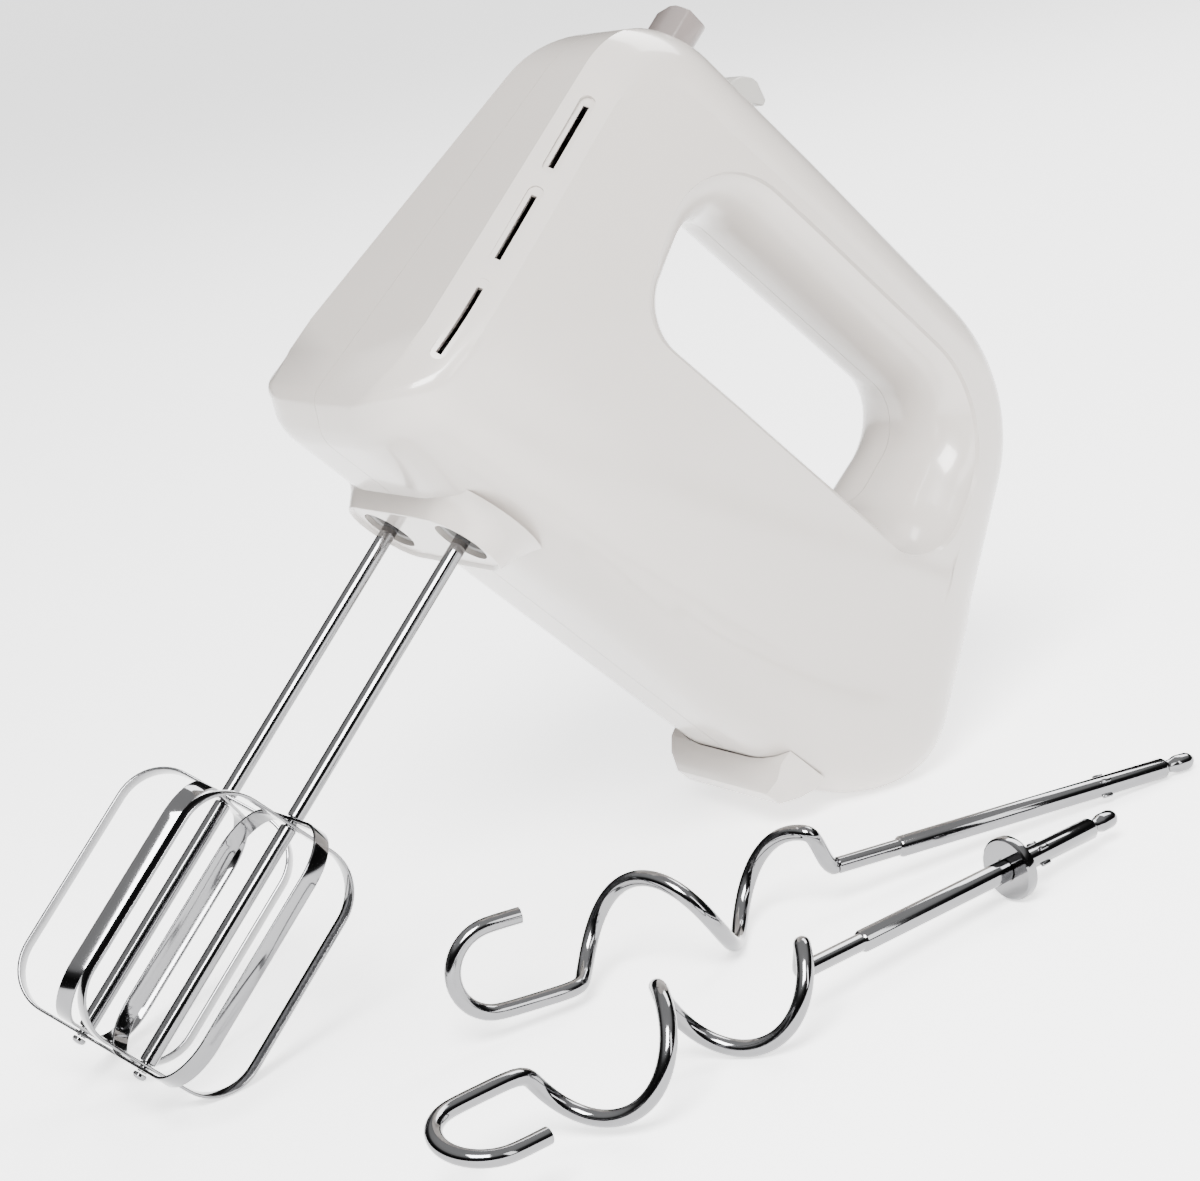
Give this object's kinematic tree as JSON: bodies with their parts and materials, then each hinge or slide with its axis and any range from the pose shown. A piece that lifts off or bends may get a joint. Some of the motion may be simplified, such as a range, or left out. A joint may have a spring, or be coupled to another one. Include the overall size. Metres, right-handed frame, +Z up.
{
  "type": "hand mixer",
  "caption": "Hand-held electric mixer with a looped handle, two crossed-loop beaters driven by a worm gear, an eject button, a speed slider and a pair of spiral dough hooks.",
  "frame": {"origin": "centre of the bounding box at the table's level, under the mixer as it rests on its beaters and heel with the hooks beside it", "axes": "+Z up from the table; +Y from the beaters towards the mixer's rear; +X to the mixer's left, where the hooks lie"},
  "size_m": [0.1832, 0.305, 0.2164],
  "materials": {
    "black_plastic": "moulded plastic",
    "board": "green laminate",
    "bronze": "sintered bronze and brass",
    "button_plastic": "satin moulded plastic",
    "carbon": "pressed carbon",
    "chrome": "polished chrome plating on steel",
    "copper": "lacquered copper wire",
    "laminated_steel": "stacked steel sheets",
    "light_grey_plastic": "satin moulded plastic",
    "nylon": "natural nylon, moulded teeth",
    "steel": "machined steel",
    "warm_white_plastic": "glossy moulded plastic"
  },
  "bodies": {
    "body": {"left_housing": "warm_white_plastic", "right_housing": "warm_white_plastic", "housing_screw_1": "steel", "housing_screw_2": "steel", "housing_screw_3": "steel", "housing_screw_4": "steel", "heel_ledge": "warm_white_plastic", "cord_inlet_bush": "black_plastic", "left_socket_liner": "light_grey_plastic", "right_socket_liner": "light_grey_plastic", "gearbox_frame": "light_grey_plastic", "gearbox_cover": "light_grey_plastic", "gearbox_screw_left": "steel", "gearbox_screw_right": "steel", "front_motor_bearing": "bronze", "rear_motor_bearing": "bronze", "motor_rear_bracket": "black_plastic", "stator_core": "laminated_steel", "upper_field_coil": "copper", "lower_field_coil": "copper", "left_brush": "carbon", "right_brush": "carbon", "left_brush_holder": "bronze", "right_brush_holder": "bronze", "speed_switch": "black_plastic", "circuit_board": "board"},
    "rotor": {"motor_shaft": "steel", "armature_core": "laminated_steel", "front_armature_winding": "copper", "rear_armature_winding": "copper", "commutator": "copper", "worm": "steel", "cooling_fan": "black_plastic"},
    "left_drive": {"left_spindle": "steel", "left_worm_wheel": "nylon"},
    "right_drive": {"right_spindle": "steel", "right_worm_wheel": "nylon"},
    "left_beater": {"left_beater_shaft": "chrome", "left_outer_loop": "chrome", "left_inner_loop": "chrome", "left_beater_rivet": "chrome"},
    "right_beater": {"right_beater_shaft": "chrome", "right_outer_loop": "chrome", "right_inner_loop": "chrome", "right_beater_rivet": "chrome"},
    "ejector": {"eject_button": "button_plastic", "ejector_fork": "light_grey_plastic"},
    "slider": {"speed_slider": "light_grey_plastic"},
    "left_hook": {"left_hook_shaft": "chrome", "left_hook_wire": "chrome", "left_hook_disc": "chrome"},
    "right_hook": {"right_hook_shaft": "chrome", "right_hook_wire": "chrome"}
  },
  "joints": [
    {"name": "motor_spin", "type": "hinge", "parent": "body", "child": "rotor", "pos_m": [-0.05063, 0.02631, 0.09647], "axis": [0, 0.6194, -0.7851], "continuous": true},
    {"name": "left_spindle_spin", "type": "hinge", "parent": "body", "child": "left_drive", "pos_m": [-0.03238, 0.00153, 0.12787], "axis": [0, 0.7851, 0.6194], "continuous": true},
    {"name": "right_spindle_spin", "type": "hinge", "parent": "body", "child": "right_drive", "pos_m": [-0.06888, 0.00153, 0.12787], "axis": [0, 0.7851, 0.6194], "continuous": true},
    {"name": "eject_press", "type": "slide", "parent": "body", "child": "ejector", "axis": [0, -0.7851, -0.6194], "range_m": [0, 0.006], "stiffness_N_per_m": 400, "springref_m": -0.005},
    {"name": "left_beater_eject", "type": "slide", "parent": "left_drive", "child": "left_beater", "axis": [0, -0.7851, -0.6194], "range_m": [0, 0.006]},
    {"name": "right_beater_eject", "type": "slide", "parent": "right_drive", "child": "right_beater", "axis": [0, -0.7851, -0.6194], "range_m": [0, 0.006]},
    {"name": "speed_slide", "type": "slide", "parent": "body", "child": "slider", "axis": [0, 0.6194, -0.7851], "range_m": [0, 0.012]},
    {"name": "left_hook_lift", "type": "slide", "parent": "body", "child": "left_hook", "axis": [0, 0, 1], "range_m": [0, 0.1]},
    {"name": "right_hook_lift", "type": "slide", "parent": "body", "child": "right_hook", "axis": [0, 0, 1], "range_m": [0, 0.1]}
  ],
  "couplings": [
    {"joint": "left_spindle_spin", "follows": "motor_spin", "ratio": 0.083333},
    {"joint": "right_spindle_spin", "follows": "motor_spin", "ratio": -0.083333},
    {"joint": "left_beater_eject", "follows": "eject_press", "ratio": 1},
    {"joint": "right_beater_eject", "follows": "eject_press", "ratio": 1}
  ]
}
